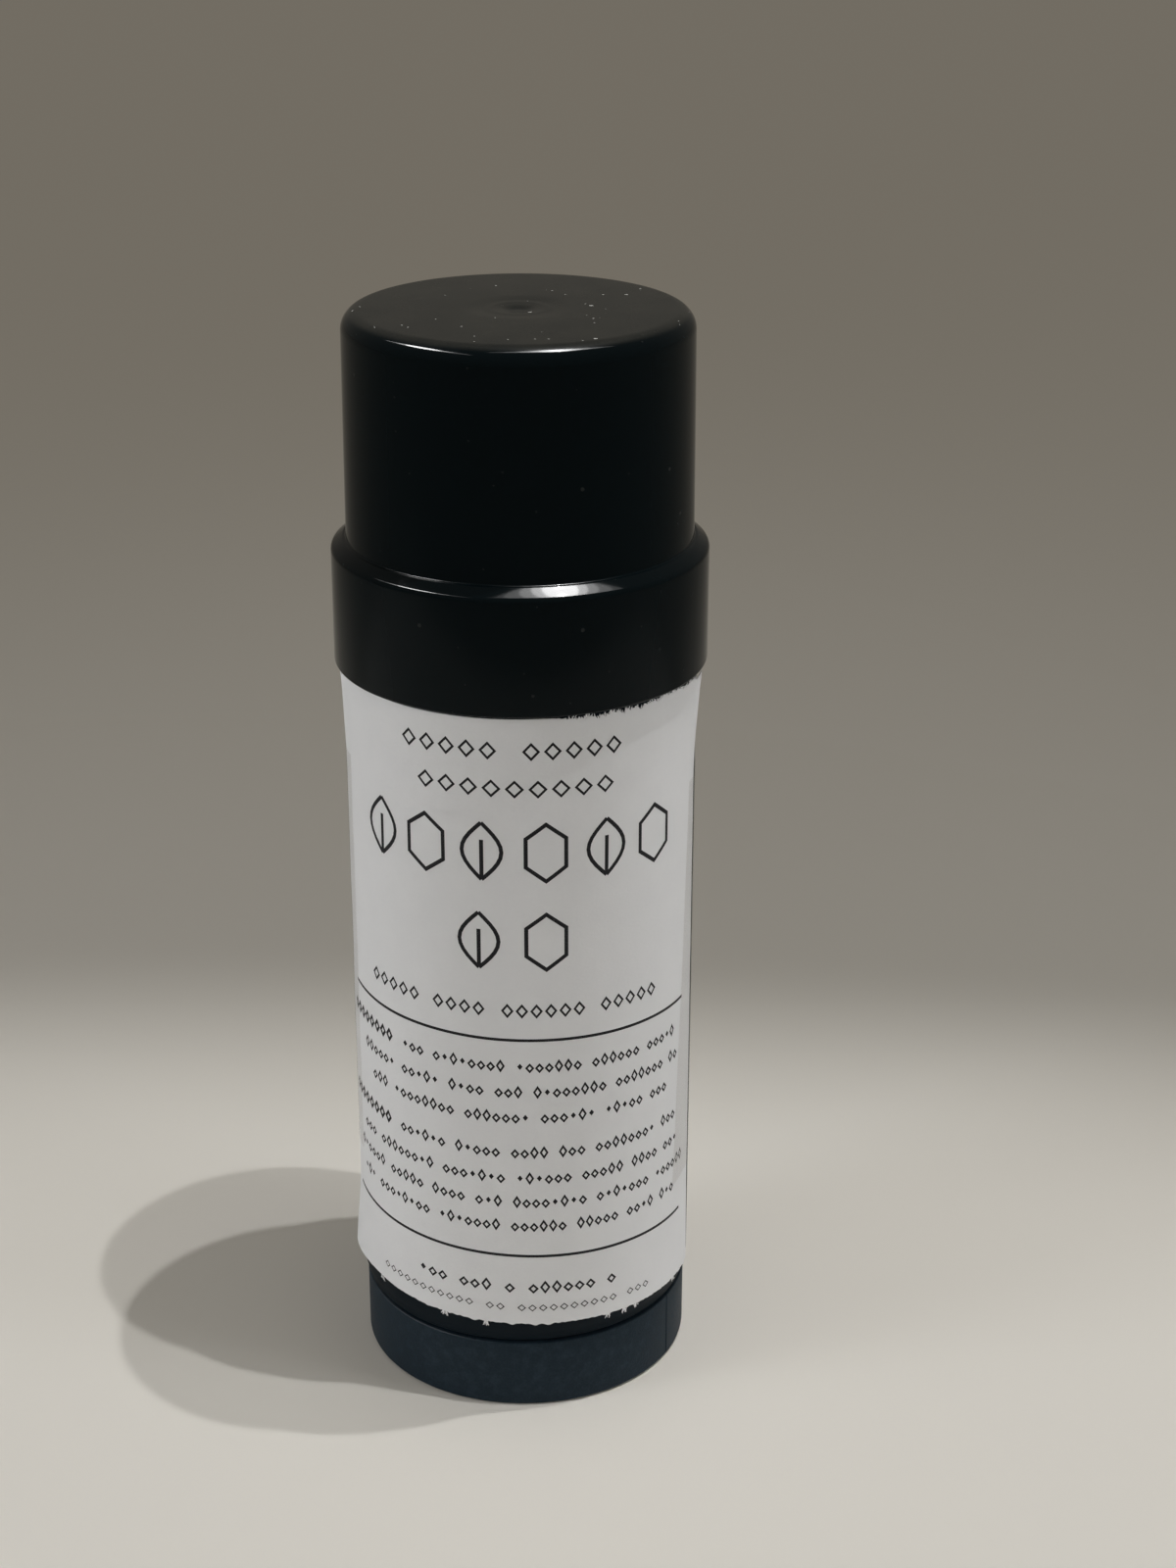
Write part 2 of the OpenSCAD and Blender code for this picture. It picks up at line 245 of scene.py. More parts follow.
def ease(low, high, value):
    t = min(max((value - low) / (high - low), 0.0), 1.0)
    return t * t * (3 - 2 * t)


def makePiece(name, bm, material, body, slotName, *nodes, smooth=35):
    mesh = bpy.data.meshes.new(name)
    bm.to_mesh(mesh)
    bm.free()
    mesh.materials.append(material)
    piece = bpy.data.objects.new(name, mesh)
    bpy.context.scene.collection.objects.link(piece)
    for face in mesh.polygons:
        face.use_smooth = True
    mesh.set_sharp_from_angle(angle=math.radians(smooth))
    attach(piece, body)
    if nodes:
        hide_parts(*nodes)
    return piece


def bow(centre, radii, start, stop, steps=10):
    # points of an elliptical arc in the (radius, height) plane
    turns = [math.radians(start + (stop - start) * i / steps) for i in range(steps + 1)]
    return [(centre[0] + radii[0] * math.cos(a), centre[1] + radii[1] * math.sin(a)) for a in turns]


def corner(tip, size, start, stop, steps=10):
    # rounds a corner off inside its tip, on the side that the arc faces
    down = -1 if max(start, stop) > 0 else 1
    return bow((tip[0] - size, tip[1] + down * size), (size, size), start, stop, steps)


def revolve(outline, steps=256):
    # spins an outline of (radius, height) in mm round the tube's axis
    bm = bmesh.new()
    rim = [bm.verts.new((r * mm, 0, z * mm)) for r, z in outline]
    line = [bm.edges.new(pair) for pair in zip(rim, rim[1:])]
    bmesh.ops.spin(bm, geom=rim + line, cent=(0, 0, 0), axis=(0, 0, 1), angle=math.tau, steps=steps,
                   use_merge=True)
    bmesh.ops.remove_doubles(bm, verts=bm.verts[:], dist=weld)
    bmesh.ops.recalc_face_normals(bm, faces=bm.faces[:])
    return bm


def addBlocks(bm, count, size, middle, shift=0.0):
    # evenly spaced upright blocks round the axis; middle is (radius, height), all in mm
    for i in range(count):
        made = bmesh.ops.create_cube(bm, size=1.0)["verts"]
        bmesh.ops.scale(bm, vec=Vector(size) * mm, verts=made)
        bmesh.ops.translate(bm, vec=Vector((middle[0], 0, middle[1])) * mm, verts=made)
        turn = Matrix.Rotation(math.tau * (i + shift) / count, 3, "Z")
        bmesh.ops.rotate(bm, matrix=turn, cent=(0, 0, 0), verts=made)


def cadCopy(node):
    # the node's own mesh, welded so that it can be shaded smooth
    bm = bmesh.new()
    bm.from_mesh(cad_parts[node].data)
    bmesh.ops.remove_doubles(bm, verts=bm.verts[:], dist=weld)
    return bm


# the cap

cap = {
    "wall": 1.43, "topThick": 1.4, "topRound": 2.05, "draft": 0.12, "headStep": 1.62,
    "ledge": 13.54, "shoulderWide": 1.38, "slopeLong": 1.15, "slopeTilt": 52, "slopeRound": 0.3,
    "footRound": 0.35, "creaseRound": 0.24,
    "skirtInner": 18.5, "leadIn": 0.3, "ceilingUp": 12.1, "insideRound": 1.0, "insideDraft": 0.1,
    "dishWide": 6.0, "dishDeep": 0.16, "gateWide": 2.2, "gateDeep": 0.24, "gateSteps": 8, "dishSteps": 24,
    "ringR": 2.9, "ringProud": 0.05, "ringWide": 0.5,
}


def makeCap():
    low, high = (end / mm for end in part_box("cap"))
    skirtR, topZ, lowZ = high.x, high.z, low.z
    ledgeZ = lowZ + cap["ledge"]
    headR = skirtR - cap["headStep"]
    topR = headR - cap["draft"]
    gate, dish = cap["gateWide"], cap["dishDeep"]
    pitZ = topZ - dish - cap["gateDeep"]
    outline = []
    for i in range(cap["gateSteps"] + 1):  # the gate's pit, flat over its first quarter
        t = i / cap["gateSteps"]
        outline.append((gate * t, pitZ + cap["gateDeep"] * ease(0.25, 1, t)))
    for i in range(1, cap["dishSteps"] + 1):  # the dish eases out into the flat top, over a faint ring
        t = i / cap["dishSteps"]
        r = gate + (cap["dishWide"] - gate) * t
        ring = cap["ringProud"] * math.exp(-((r - cap["ringR"]) / cap["ringWide"]) ** 2)
        outline.append((r, topZ - dish * (1 + math.cos(math.pi * t)) / 2 + ring))
    outline += corner((topR, topZ), cap["topRound"], 90, 0, 14)
    crease = cap["creaseRound"]
    outline += bow((headR + crease, ledgeZ + crease), (crease, crease), 180, 270, 5)
    tilt, small = cap["slopeTilt"], cap["slopeRound"]
    outline += bow((skirtR - cap["shoulderWide"], ledgeZ - small), (small, small), 90, tilt, 5)[1:]
    r, z = outline[-1]  # a straight slope, then a long round into the skirt's wall
    across, down = math.sin(math.radians(tilt)), math.cos(math.radians(tilt))
    r, z = r + cap["slopeLong"] * across, z - cap["slopeLong"] * down
    large = (skirtR - r) / (1 - down)
    outline += bow((skirtR - large, z - large * across), (large, large), tilt, 0, 12)
    outline += corner((skirtR, lowZ), cap["footRound"], 0, -90, 5)
    innerR, ceilingZ = headR - cap["wall"], topZ - cap["topThick"]
    outline += [(cap["skirtInner"] + cap["leadIn"], lowZ), (cap["skirtInner"], lowZ + cap["leadIn"])]
    outline += [(cap["skirtInner"], lowZ + cap["ceilingUp"]), (innerR, lowZ + cap["ceilingUp"])]
    outline += corner((innerR - cap["insideDraft"], ceilingZ), cap["insideRound"], 0, 90, 6)
    outline.append((0, ceilingZ))
    return makePiece("capShell", revolve(outline), capFinish(), "cap", "cap_plastic", "cap")


# the barrel

barrel = {
    "wall": 1.6, "footUp": 1.05, "footStep": 0.35, "footEdge": 0.2, "footSlope": 0.55,
    "neck": 11.9, "neckStep": 0.55, "neckEdge": 0.15, "beadUp": 4.76, "beadProud": 0.1, "beadHalf": 0.6,
    "rimOuter": 0.3, "rimInner": 0.2, "floorUp": 2.8, "floorThick": 1.4, "floorBevel": 0.8, "holeR": 3.8,
    "ribs": 4, "ribWide": 1.2, "ribProud": 0.8, "ribDrop": 5.4, "sunk": 0.5,
}


def makeBarrel():
    low, high = (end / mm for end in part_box("barrel"))
    r, foot, rim = high.x, low.z, high.z
    shoulder = rim - barrel["neck"]
    neckR, bore = r - barrel["neckStep"], r - barrel["wall"]
    footR = r - barrel["footStep"]
    bead = shoulder + barrel["beadUp"]
    floor = foot + barrel["floorUp"]
    top = floor + barrel["floorThick"]
    edge, bevel = barrel["footEdge"], barrel["floorBevel"]
    outline = [(bore, foot), (footR - edge, foot), (footR, foot + edge), (footR, foot + barrel["footUp"])]
    outline += [(r, foot + barrel["footUp"] + barrel["footSlope"]), (r, shoulder - barrel["neckEdge"])]
    outline += [(r - barrel["neckEdge"], shoulder), (neckR, shoulder)]
    outline += bow((neckR, bead), (barrel["beadProud"], barrel["beadHalf"]), -90, 90, 6)
    outline += corner((neckR, rim), barrel["rimOuter"], 0, 90, 4)
    inner = barrel["rimInner"]
    outline += bow((bore + inner, rim - inner), (inner, inner), 90, 180, 4)
    outline += [(bore, top + bevel), (bore - bevel, top), (barrel["holeR"], top), (barrel["holeR"], floor)]
    outline += [(bore, floor), (bore, foot)]
    bm = revolve(outline)
    tall = rim - barrel["ribDrop"] - top
    size = (barrel["ribProud"] + barrel["sunk"], barrel["ribWide"], tall)
    addBlocks(bm, barrel["ribs"], size, (bore - barrel["ribProud"] + size[0] / 2, top + tall / 2), 0.5)
    return makePiece("barrelTube", bm, barrelFinish(), "barrel", "barrel_plastic", "barrel")


# the paper label; places on it are (mm round from the front, mm up), so a row of print is a straight line

label = {
    "left": 85.0, "right": 77.0, "thick": 0.1, "gap": 0.03, "columns": 420, "rows": 70,
    "lowFront": 11.2, "slope": -0.036, "leftRise": 0.62, "tearStart": 2.0,
    "cornerLift": 0.75, "cornerWide": 9, "rightLift": 0.08, "rightWide": 8, "liftTop": 22,
    "flareRight": 0.6, "flareLeft": 0.35, "flareWide": 7, "flareFrom": 71.5, "topLift": 0.12, "topWide": 3,
    "wave": 0.045, "waveWide": 6, "waveTall": 9, "edgeWander": 0.08,
}
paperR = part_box("barrel")[1].x / mm + label["gap"]
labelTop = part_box("label")[1].z / mm
labelSpan = (-math.radians(label["left"]) * paperR, math.radians(label["right"]) * paperR)


def grit(place, size, seed):  # smooth noise from -1 to 1
    return noise.noise(Vector((place / size, seed, 0.5)))


def lowerEdge(u):
    # cut by hand: level at the left, falling away to the right, with small tears
    z = label["lowFront"] + label["slope"] * u * ease(-26, 4, u) + label["leftRise"] * (1 - ease(-26, -4, u))
    tear = max(grit(u, 1.1, 3.0), 0) ** 2 * 0.5 + grit(u, 0.5, 8.0) * 0.1
    return z - tear * (0.35 + 0.65 * ease(-22, -8, u))


def upperEdge(u):
    # clean on the left and torn on the right
    torn = ease(label["tearStart"], label["tearStart"] + 6, u)
    tear = 0.15 + 0.5 * abs(grit(u, 0.45, 5.0)) + 0.4 * abs(grit(u, 0.2, 2.0)) + 0.2 * grit(u, 2.3, 1.0)
    return labelTop - 0.05 - torn * tear


def paperLift(u, z):
    # how far the paper stands off the barrel
    left, right = labelSpan
    lowLeft = label["cornerLift"] * ease(left + label["cornerWide"], left - 1, u)
    lowRight = label["rightLift"] * ease(right - label["rightWide"], right, u)
    low = lowLeft * ease(label["liftTop"], 10, z) + lowRight * ease(label["liftTop"], 11, z)
    flare = label["flareRight"] * ease(right - label["flareWide"], right, u)
    flare += label["flareLeft"] * ease(left + label["flareWide"], left, u)
    top = label["topLift"] * ease(labelTop - label["topWide"], labelTop, z)
    swell = noise.noise(Vector((u / label["waveWide"], z / label["waveTall"], 2.0)))
    wave = (label["wave"] * swell + 0.05) * (1 - ease(right - 5, right - 1, u))  # never into the barrel
    return low + flare * ease(label["flareFrom"], 84, z) + top + wave


def onPaper(u, z, above=0.0):
    # the place on the label's face of a point of its flat layout
    r = (paperR + label["thick"] + paperLift(u, z) + above) * mm
    turn = front + u / paperR
    return Vector((r * math.cos(turn), r * math.sin(turn), z * mm))


def faceOut(bm):
    # turns every face of a wrapped skin away from the tube's axis
    bmesh.ops.recalc_face_normals(bm, faces=bm.faces[:])
    level = Vector((1, 1, 0))
    inward = [face for face in bm.faces if face.normal.dot(face.calc_center_median() * level) < 0]
    bmesh.ops.reverse_faces(bm, faces=inward)
    return bm


def makeLabel():
    bm = bmesh.new()
    bmesh.ops.create_grid(bm, x_segments=label["columns"], y_segments=label["rows"], size=0.5)
    left, right = labelSpan
    for vert in bm.verts:
        u = left + (right - left) * (vert.co.x + 0.5)
        edge = label["edgeWander"] * grit(vert.co.y * 72, 3.0, 4.0)
        low, high = lowerEdge(u), upperEdge(u)
        z = low + (high - low) * (vert.co.y + 0.5)
        vert.co = onPaper(u + edge, z)
    bmesh.ops.solidify(bm, geom=faceOut(bm).faces[:], thickness=label["thick"] * mm)
    return makePiece("paperLabel", bm, paperFinish(), "barrel", "label_paper", "label", smooth=50)


# loose fibres where the paper was torn

fibres = {
    "wide": 0.075, "seed": 5, "lean": 0.5, "bend": 0.12, "scatter": 0.35,
    "topFrom": 4.5, "topTo": 23.5, "topTufts": 60, "topCount": 3, "topReach": 0.45,
    "lowTufts": (-19.5, -9.4, -4.6, 9.6, 11.7, 13.3, 20.5), "lowCount": 9, "lowReach": 0.75,
}


def makeFibres():
    bm = bmesh.new()
    chance = random.Random(fibres["seed"])
    count, reach = fibres["lowCount"], fibres["lowReach"]
    tufts = [(u, lowerEdge(u) + 0.15, -1, count, reach) for u in fibres["lowTufts"]]
    for i in range(fibres["topTufts"]):
        part = (i + chance.random()) / fibres["topTufts"]
        u = fibres["topFrom"] + (fibres["topTo"] - fibres["topFrom"]) * part
        tufts.append((u, upperEdge(u) - 0.1, 1, fibres["topCount"], fibres["topReach"]))
    for u, z, way, count, reach in tufts:
        for i in range(count):
            lean, long = chance.uniform(-fibres["lean"], fibres["lean"]), reach * chance.uniform(0.5, 1.0)
            bend = chance.uniform(-fibres["bend"], fibres["bend"])
            base = u + chance.uniform(-fibres["scatter"], fibres["scatter"])
            knee = (base + lean * long * 0.6 + bend, z + way * long * 0.6)
            run = [(base, z), knee, (base + lean * long, z + way * long)]
            ribbon(bm, run, fibres["wide"] * chance.uniform(0.7, 1.6), onPaper, 0.4)
    return makePiece("tornFibres", faceOut(bm), paperFinish(), "barrel", "label_paper")


# the print: plain shapes and rows of small marks in place of words

printing = {
    "proud": 0.012, "step": 0.9, "tiltTop": -0.021, "tiltMore": -0.022, "topRow": 80.0, "rowsTall": 68.0,
    "headTall": 1.65, "headLine": 0.25,
    "headRows": ((78.85, -12.4, 12.2, 2.22, (5, 5)), (74.7, -10.4, 9.8, 2.4, (9,))),
    "shapeWide": 4.2, "shapeTall": 6.4, "shapeLine": 0.43,
    "shapes": ((68.4, (-16.8, -10.6, -4.3, 2.4, 9.0, 15.4)), (58.2, (-4.7, 2.4))),
    "ruleLine": 0.34, "rules": ((46.65, -24.6, 21.8), (19.95, -25.8, 21.9)),
    "rowTall": 1.2, "rowPitch": 1.04, "rowLine": 0.215,
    "rows": [(42.9, -25.0, 20.4), (39.8, -21.5, 20.4), (36.7, -19.7, 18.4), (32.4, -25.6, 20.4),
             (29.2, -22.4, 21.4), (26.2, -23.8, 22.0), (23.2, -23.0, 21.6)],
    "boldRows": (0, 3), "boldLong": 8.6, "boldPitch": 1.2, "boldLine": 0.3, "afterBold": 11.0,
    # single rows: height, left and right end, tall, pitch, line, groups
    "overRule": (49.45, -18.7, 16.8, 1.35, 1.54, 0.23, (5, 4, 6, 5)),
    "underRule": (15.3, -12.2, 10.6, 1.3, 1.3, 0.23, (3, 3, 1, 6)),
    "footRow": (12.9, -18.2, 14.9, 0.75, 1.18, 0.11, (11, 2, 10, 5)),
}


def rowTilt(z):
    down = (printing["topRow"] - z) / printing["rowsTall"]
    return printing["tiltTop"] + printing["tiltMore"] * down * abs(down)


def inkPoint(u, z):
    # rows slope down to the right, more so towards the label's foot
    return onPaper(u, z + rowTilt(z) * u, printing["proud"])


def stroke(bm, points, width, closed=False):
    ribbon(bm, points, width, inkPoint, printing["step"], closed)


def ribbon(bm, points, width, toPlace, step, closed=False):
    # a strip along a run of points of the flat layout, with square ends and mitred corners
    if closed:
        points = points + points[:1]
    run = [Vector(points[0])]
    for place in points[1:]:
        last, place = run[-1], Vector(place)
        parts = max(1, math.ceil((place - last).length / step))
        run += [last.lerp(place, (i + 1) / parts) for i in range(parts)]
    pairs = []
    for i, place in enumerate(run):
        before = run[i - 1] if i > 0 else (run[-2] if closed else place)
        after = run[i + 1] if i < len(run) - 1 else (run[1] if closed else place)
        ways = [way.normalized() for way in (place - before, after - place) if way.length > 1e-6]
        along = sum(ways, Vector((0, 0))).normalized()
        across = Vector((-along.y, along.x))
        reach = width / 2 / max(across.dot(Vector((-ways[0].y, ways[0].x))), 0.35)
        pairs.append([bm.verts.new(toPlace(*(place + across * side))) for side in (reach, -reach)])
    for one, two in zip(pairs, pairs[1:]):
        bm.faces.new((one[0], one[1], two[1], two[0]))


def figure(bm, kind, u, z, wide, tall, width):
    # one thin-line ornament in a box of the given size round (u, z)
    w, h = wide / 2, tall / 2
    if kind == "leaf":
        sides = [(math.sin(math.pi * i / 10) * w, h - tall * i / 10) for i in range(11)]
        stroke(bm, [(u + x, z + y) for x, y in sides], width)
        stroke(bm, [(u - x, z + y) for x, y in sides], width)
        stroke(bm, [(u, z - h), (u, z + h * 0.4)], width)
    elif kind == "hexagon":
        turns = [math.tau * (i + 0.5) / 6 for i in range(6)]
        stroke(bm, [(u + w * math.cos(a) / 0.866, z + h * math.sin(a)) for a in turns], width, True)
    elif kind == "diamond":
        stroke(bm, [(u, z + h), (u + w, z), (u, z - h), (u - w, z)], width, True)
    elif kind == "low":
        figure(bm, "diamond", u, z - h * 0.28, wide, tall * 0.72, width)
    elif kind == "bead":
        corners = ((0, h * 0.62), (w * 0.8, 0), (0, -h * 0.62), (-w * 0.8, 0))
        bm.faces.new([bm.verts.new(inkPoint(u + x, z + y)) for x, y in corners])


def markRow(bm, z, low, high, tall, pitch, width, groups, kinds):
    # a row of small plain marks in groups; the last group runs on to the row's end
    u, left, turn = low, groups[0], 0
    while u <= high:
        if left == 0:
            turn += 1
            left = groups[turn % len(groups)]
            u += pitch
            continue
        kind = kinds[(turn * 5 + left * 3) % len(kinds)]
        figure(bm, kind, u, z + tall / 2, pitch * 0.68, tall, width)
        u += pitch
        left -= 1


def makePrint():
    bm = bmesh.new()
    for z, low, high, pitch, groups in printing["headRows"]:
        markRow(bm, z, low, high, printing["headTall"], pitch, printing["headLine"], groups, ["diamond"])
    for z, places in printing["shapes"]:
        for i, u in enumerate(places):
            kind = ("leaf", "hexagon")[i % 2]
            figure(bm, kind, u, z, printing["shapeWide"], printing["shapeTall"], printing["shapeLine"])
    for z, low, high in printing["rules"]:
        stroke(bm, [(low, z), (high, z)], printing["ruleLine"])
    markRow(bm, *printing["overRule"], ["diamond"])
    small = ["low", "diamond", "low", "low", "bead", "diamond", "low", "low", "diamond", "bead", "low"]
    tall = printing["rowTall"]
    for i, (z, low, high) in enumerate(printing["rows"]):
        groups = tuple(3 + (i * 3 + j * 5) % 6 for j in range(7))
        if i in printing["boldRows"]:
            end, pitch, line = low + printing["boldLong"], printing["boldPitch"], printing["boldLine"]
            markRow(bm, z, low, end, tall, pitch, line, (20,), ["diamond", "low", "low"])
            low += printing["afterBold"]
        kinds = small[i:] + small[:i]
        markRow(bm, z, low, high, tall, printing["rowPitch"], printing["rowLine"], groups, kinds)
    markRow(bm, *printing["underRule"], small)
    markRow(bm, *printing["footRow"], ["diamond"])
    return makePiece("labelPrint", faceOut(bm), inkFinish(), "barrel", "label_paper")


# the clear tape that runs round the back and holds both edges of the paper

tape = {
    "endAtRight": 66.0, "endSlant": 0.21, "slantFrom": 0.56, "endAtLeft": 73.5, "wide": 48.0, "drop": 2.1,
    "climb": 3.1, "thick": 0.05, "ramp": 2.2, "gap": 0.03, "bubble": 0.05, "edgeWander": 0.12,
    "columns": 260, "rows": 60,
}


def makeTape():
    # wound a little askew, so it climbs on its way round the back
    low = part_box("tape")[0].z / mm - tape["drop"]
    stop = math.tau - math.radians(tape["endAtLeft"])
    edges = (math.radians(label["right"]), math.tau - math.radians(label["left"]))
    bm = bmesh.new()
    bmesh.ops.create_grid(bm, x_segments=tape["columns"], y_segments=tape["rows"], size=0.5)
    for vert in bm.verts:
        along, up = vert.co.x + 0.5, (vert.co.y + 0.5) * tape["wide"]
        slant = tape["endSlant"] * (up - tape["wide"] * tape["slantFrom"])
        start = math.radians(tape["endAtRight"] + slant)
        turn = start + (stop - start) * along
        z = low + tape["climb"] * along + up
        past = min(turn - edges[0], edges[1] - turn) * paperR  # mm beyond the nearer edge of the paper
        u = turn * paperR if turn < math.pi else (turn - math.tau) * paperR
        cover = 1 - ease(0.0, tape["ramp"], past)
        onLabel = label["thick"] + paperLift(min(max(u, labelSpan[0]), labelSpan[1]), z) + tape["gap"]
        bubble = tape["bubble"] * max(noise.noise(Vector((turn * 7, z / 5, 6.0))), 0) * (1 - cover)
        r = paperR + onLabel * cover + bubble + tape["thick"]
        wavy = tape["edgeWander"] * grit(turn * paperR, 1.6, 9.0) if abs(vert.co.y) > 0.499 else 0
        vert.co = Vector((r * math.cos(front + turn), r * math.sin(front + turn), z + wavy)) * mm
    bmesh.ops.solidify(bm, geom=faceOut(bm).faces[:], thickness=tape["thick"] * mm)
    return makePiece("clearTape", bm, tapeFinish(), "barrel", "clear_tape", "tape", smooth=60)


# the knob

knob = {
    "wall": 1.5, "floor": 1.4, "edge": 0.5, "topEdge": 0.18, "ringWide": 2.2, "hollow": 0.6, "flat": 0.3,
    "tall": 8.2, "lipR": 16.95, "lipThick": 1.2, "lipEdge": 0.2,
    "hubR": 5.1, "hubHole": 3.35, "hubTall": 11.2, "hubFloor": 1.0,
    "webs": 6, "webThick": 1.0, "sunk": 0.5, "witnessTurn": 61.0, "witnessHalf": 0.14, "witnessDeep": 0.14,
}


def makeKnob():
    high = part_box("knob")[1] / mm
    r, tall, hollow = high.x, knob["tall"], knob["hollow"]
    inside = r - knob["wall"]
    ringIn = r - knob["ringWide"]
    floor = hollow + knob["floor"]
    lipR, lipEdge, under = knob["lipR"], knob["lipEdge"], tall - knob["lipThick"]
    lipIn = lipR - knob["lipThick"]
    outline = [(0, hollow), (ringIn - hollow - knob["flat"], hollow)]
    outline += bow((ringIn, hollow), (hollow, hollow), 180, 270, 6)
    outline += corner((r, 0), knob["edge"], -90, 0, 6)
    outline += corner((r, tall), knob["topEdge"], 0, 90, 4)
    outline += [(lipR, tall), (lipR, high.z - lipEdge), (lipR - lipEdge, high.z), (lipIn, high.z)]
    outline += [(lipIn, under), (inside, under), (inside, floor)]
    outline += [(knob["hubR"], floor), (knob["hubR"], knob["hubTall"]), (knob["hubHole"], knob["hubTall"])]
    outline += [(knob["hubHole"], floor + knob["hubFloor"]), (0, floor + knob["hubFloor"])]
    bm = revolve(outline)
    cutWitness(bm, r)
    sunk = knob["sunk"]
    size = (inside - knob["hubR"] + 2 * sunk, knob["webThick"], under - floor + sunk)
    addBlocks(bm, knob["webs"], size, ((inside + knob["hubR"]) / 2, floor - sunk + size[2] / 2))
    return makePiece("twistKnob", bm, knobFinish(), "knob", "knob_plastic", "knob", smooth=32)


def cutWitness(bm, r):
    # draws three columns of the wall together into the fine line that the mould's split leaves
    line = front + math.radians(knob["witnessTurn"])
    half = knob["witnessHalf"] / r
    wall = [vert for vert in bm.verts if vert.co.xy.length > (r - knob["edge"] - 0.001) * mm]
    columns = sorted({round(abs(math.atan2(vert.co.y, vert.co.x) - line), 5) for vert in wall})[:3]
    for vert in wall:
        away = math.atan2(vert.co.y, vert.co.x) - line
        if abs(away) > columns[-1] + 1e-4:
            continue
        near = abs(away) < columns[0] + 1e-4
        out = vert.co.xy.length - (knob["witnessDeep"] * mm if near else 0)
        turn = line + (0 if near else math.copysign(half, away))
        vert.co.xy = (out * math.cos(turn), out * math.sin(turn))


makeCap()
makeBarrel()
print("cap and barrel made")
makeLabel()
makeFibres()
makePrint()
makeTape()
print("label, print and tape made")
makeKnob()
inner = innerFinish()
makePiece("leadScrew", cadCopy("spindle"), inner, "knob", "inner_plastic", "spindle", smooth=40)
makePiece("lifter", cadCopy("elevator"), inner, "stick", "inner_plastic", "elevator", smooth=40)
makePiece("butterStick", cadCopy("butter_bar"), butterFinish(), "stick", "butter", "butter_bar", smooth=40)
print("knob and inner pieces made")

# the stage, the lights and the camera

stage = {"floorR": 6.0, "horizon": (0.163, 0.148, 0.123), "zenith": (0.246, 0.23, 0.204), "rise": 0.6}
# two bulbs overhead, side by side, so the stick throws two shadows that overlap
bulb = {"watts": 5.25, "aim": (-0.025, -0.062, 0.0), "bulbR": 0.004, "poolR": 0.165, "soft": 0.7,
        "stretch": 2.2}
bulbs = {
    "frontBulb": dict(bulb, place=(0.167, -0.071, 0.77)),
    "backBulb": dict(bulb, place=(0.144, 0.0055, 0.77)),
}
# lamps that are seen only as the gleams on the cap's rounded edges; sizes are (long, wide, radiance)
gleams = {
    "rightGleam": {"place": (0.197, -0.02, 0.95), "turn": 20,
                   "sizes": ((0.8, 0.12, 5), (0.6, 0.16, 7), (0.43, 0.2, 15), (0.3, 0.22, 33),
                             (0.19, 0.22, 60))},
    "leftGleam": {"place": (-0.66, 0.04, 0.95), "turn": -61,
                  "sizes": ((1.1, 0.1, 10), (0.7, 0.13, 22), (0.42, 0.15, 90))},
}
# soft light on the label from both sides
side = {"aim": (0.0, -0.04, 0.05), "bulbR": 0.13, "poolR": 0.45, "soft": 1.0, "stretch": 1.0}
sideLights = {
    "leftLight": dict(side, watts=6.0, place=(-0.64, -0.22, 0.24)),
    "rightLight": dict(side, watts=4.1, place=(0.64, -0.24, 0.24)),
}
coolWhite = (0.935, 0.965, 1.0)
shot = {"place": (0.0, -0.275385, 0.182332), "pitch": 0.3927, "roll": -0.0022, "yaw": -0.0262,
        "focal": 2773.07, "frameTall": 1600.0, "sensor": 36.0}


def makeFloor():
    bm = bmesh.new()
    bmesh.ops.create_circle(bm, cap_ends=True, segments=128, radius=stage["floorR"])
    mesh = bpy.data.meshes.new("paleFloor")
    bm.to_mesh(mesh)
    bm.free()
    mesh.materials.append(floorFinish())
    floor = bpy.data.objects.new("paleFloor", mesh)
    bpy.context.scene.collection.objects.link(floor)


def hangLight(name, lamp, place, turn):
    light = bpy.data.objects.new(name, lamp)
    light.location, light.rotation_euler = place, turn
    light.visible_camera = False
    bpy.context.scene.collection.objects.link(light)
    return light


def makeSpot(name, look, colour=(1, 1, 1)):
    # a soft pool of light round its aim, which can be stretched from side to side
    lamp = bpy.data.lights.new(name, "SPOT")
    away = Vector(look["place"]) - Vector(look["aim"])
    lamp.color, lamp.energy, lamp.shadow_soft_size = colour, look["watts"], look["bulbR"]
    lamp.spot_size, lamp.spot_blend = 2 * math.atan(look["poolR"] / away.length), look["soft"]
    back = away.normalized()
    along = (Vector((1, 0, 0)) - back * back.x).normalized()
    turn = Matrix((along.cross(back), along, back)).transposed().to_euler()
    light = hangLight(name, lamp, look["place"], turn)
    light.scale.y = look["stretch"]
    return light


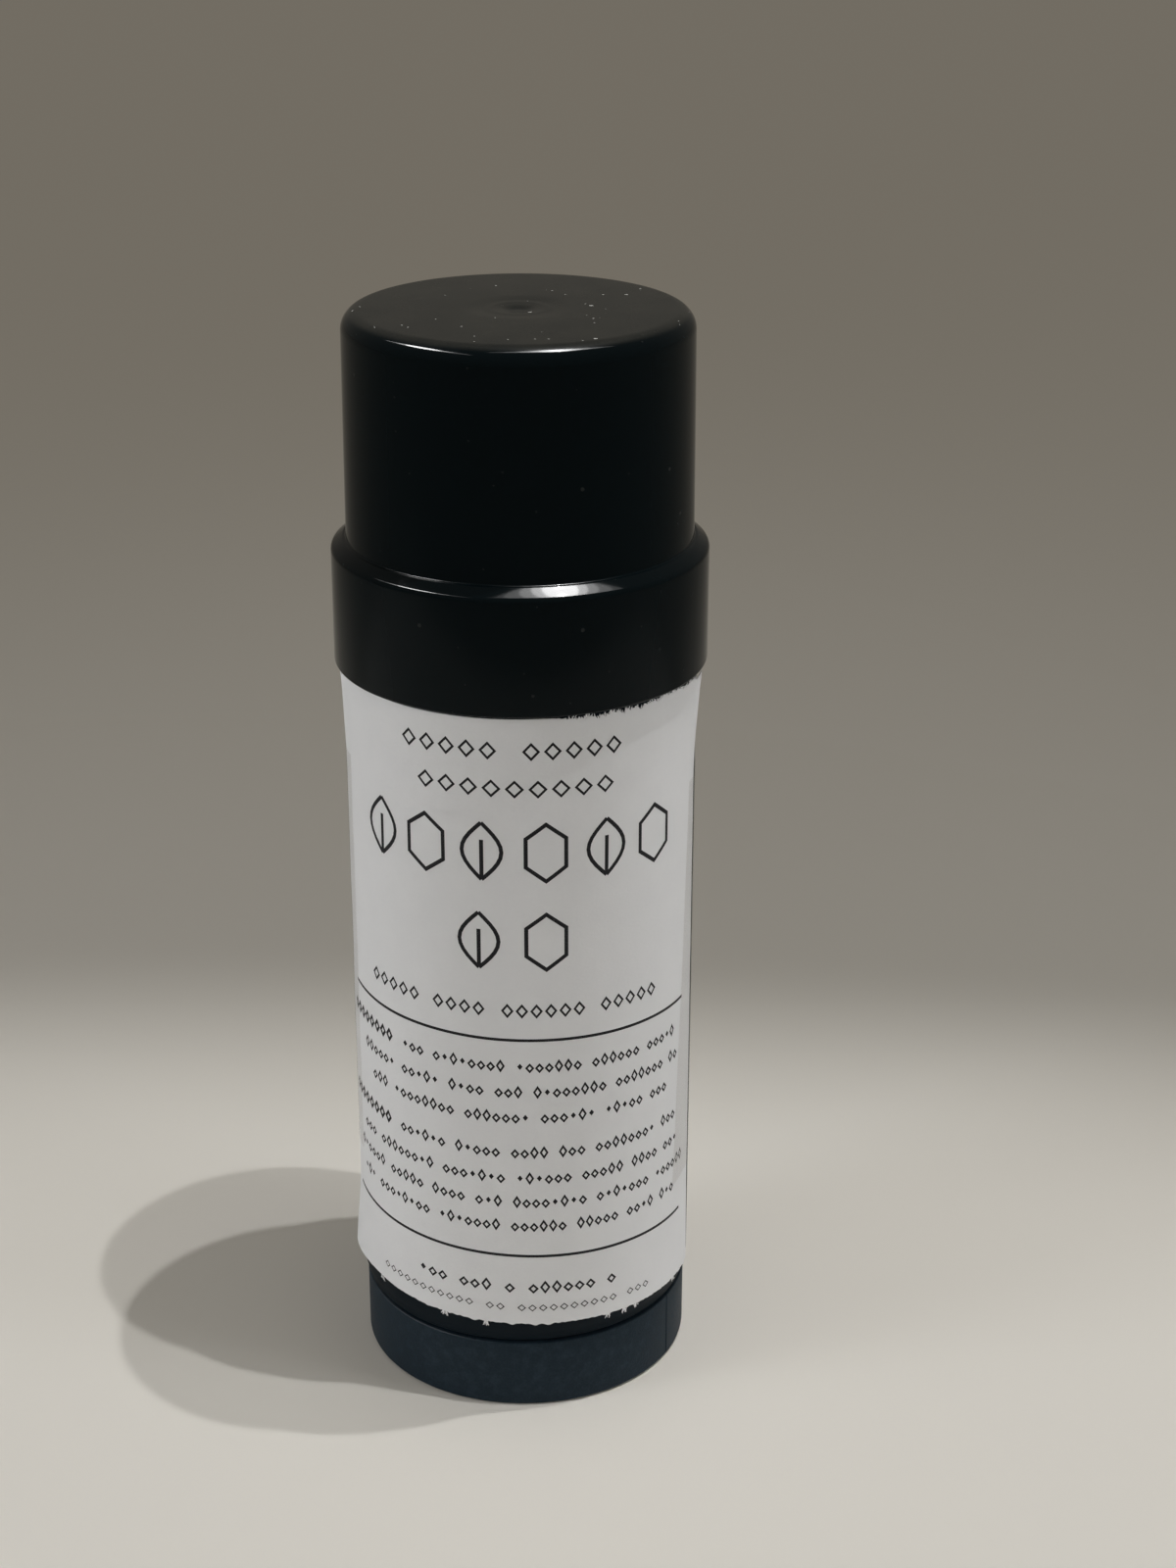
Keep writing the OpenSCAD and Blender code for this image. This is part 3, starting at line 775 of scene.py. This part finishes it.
def makeGleam(name, look):
    # flat ovals overhead, one within another, so that the gleam fades and narrows to its ends
    for i, (long, wide, radiance) in enumerate(look["sizes"]):
        lamp = bpy.data.lights.new(name, "AREA")
        lamp.shape = "ELLIPSE"
        lamp.size, lamp.size_y = long, wide
        lamp.energy = radiance * math.pi * math.pi / 4 * long * wide
        light = hangLight(name, lamp, look["place"], (0, 0, math.radians(look["turn"])))
        light.location.z += 0.004 * i
        light.visible_diffuse = False


def makeWorld():
    # a dim room, paler overhead
    world = bpy.data.worlds.new("softStudio")
    world.use_nodes = True
    tree = world.node_tree
    split = tree.nodes.new("ShaderNodeSeparateXYZ")
    tree.links.new(tree.nodes.new("ShaderNodeTexCoord").outputs["Generated"], split.inputs[0])
    height = Wire(tree, split.outputs["Z"])
    up = height.sum("MAXIMUM", height, 0.0)
    blend = tree.nodes.new("ShaderNodeMix")
    blend.data_type = "RGBA"
    for slot, value in ((0, up ** stage["rise"]), (6, (*stage["horizon"], 1)), (7, (*stage["zenith"], 1))):
        connect(tree, blend.inputs[slot], value)
    connect(tree, tree.nodes["Background"].inputs["Color"], Wire(tree, blend.outputs[2]))
    bpy.context.scene.world = world


def makeCamera():
    lens = bpy.data.cameras.new("shot")
    lens.sensor_width = shot["sensor"]
    lens.lens = shot["focal"] / shot["frameTall"] * shot["sensor"]
    lens.clip_start, lens.clip_end = 0.01, 20
    camera = bpy.data.objects.new("shot", lens)
    pitch, roll = shot["pitch"], shot["roll"]
    ahead, right = Vector((0, math.cos(pitch), -math.sin(pitch))), Vector((1, 0, 0))
    down = ahead.cross(right)
    side = right * math.cos(roll) + down * math.sin(roll)
    under = down * math.cos(roll) - right * math.sin(roll)
    axes = Matrix((side, -under, -ahead)).transposed().to_4x4()
    camera.matrix_world = Matrix.Translation(shot["place"]) @ Matrix.Rotation(shot["yaw"], 4, "Z") @ axes
    bpy.context.scene.collection.objects.link(camera)
    bpy.context.scene.camera = camera


makeFloor()
for name, look in bulbs.items():
    makeSpot(name, look)
for name, look in sideLights.items():
    makeSpot(name, look, coolWhite).visible_glossy = False
for name, look in gleams.items():
    makeGleam(name, look)
makeWorld()
makeCamera()
bpy.context.scene.view_settings.view_transform = "Standard"
print("stage made")
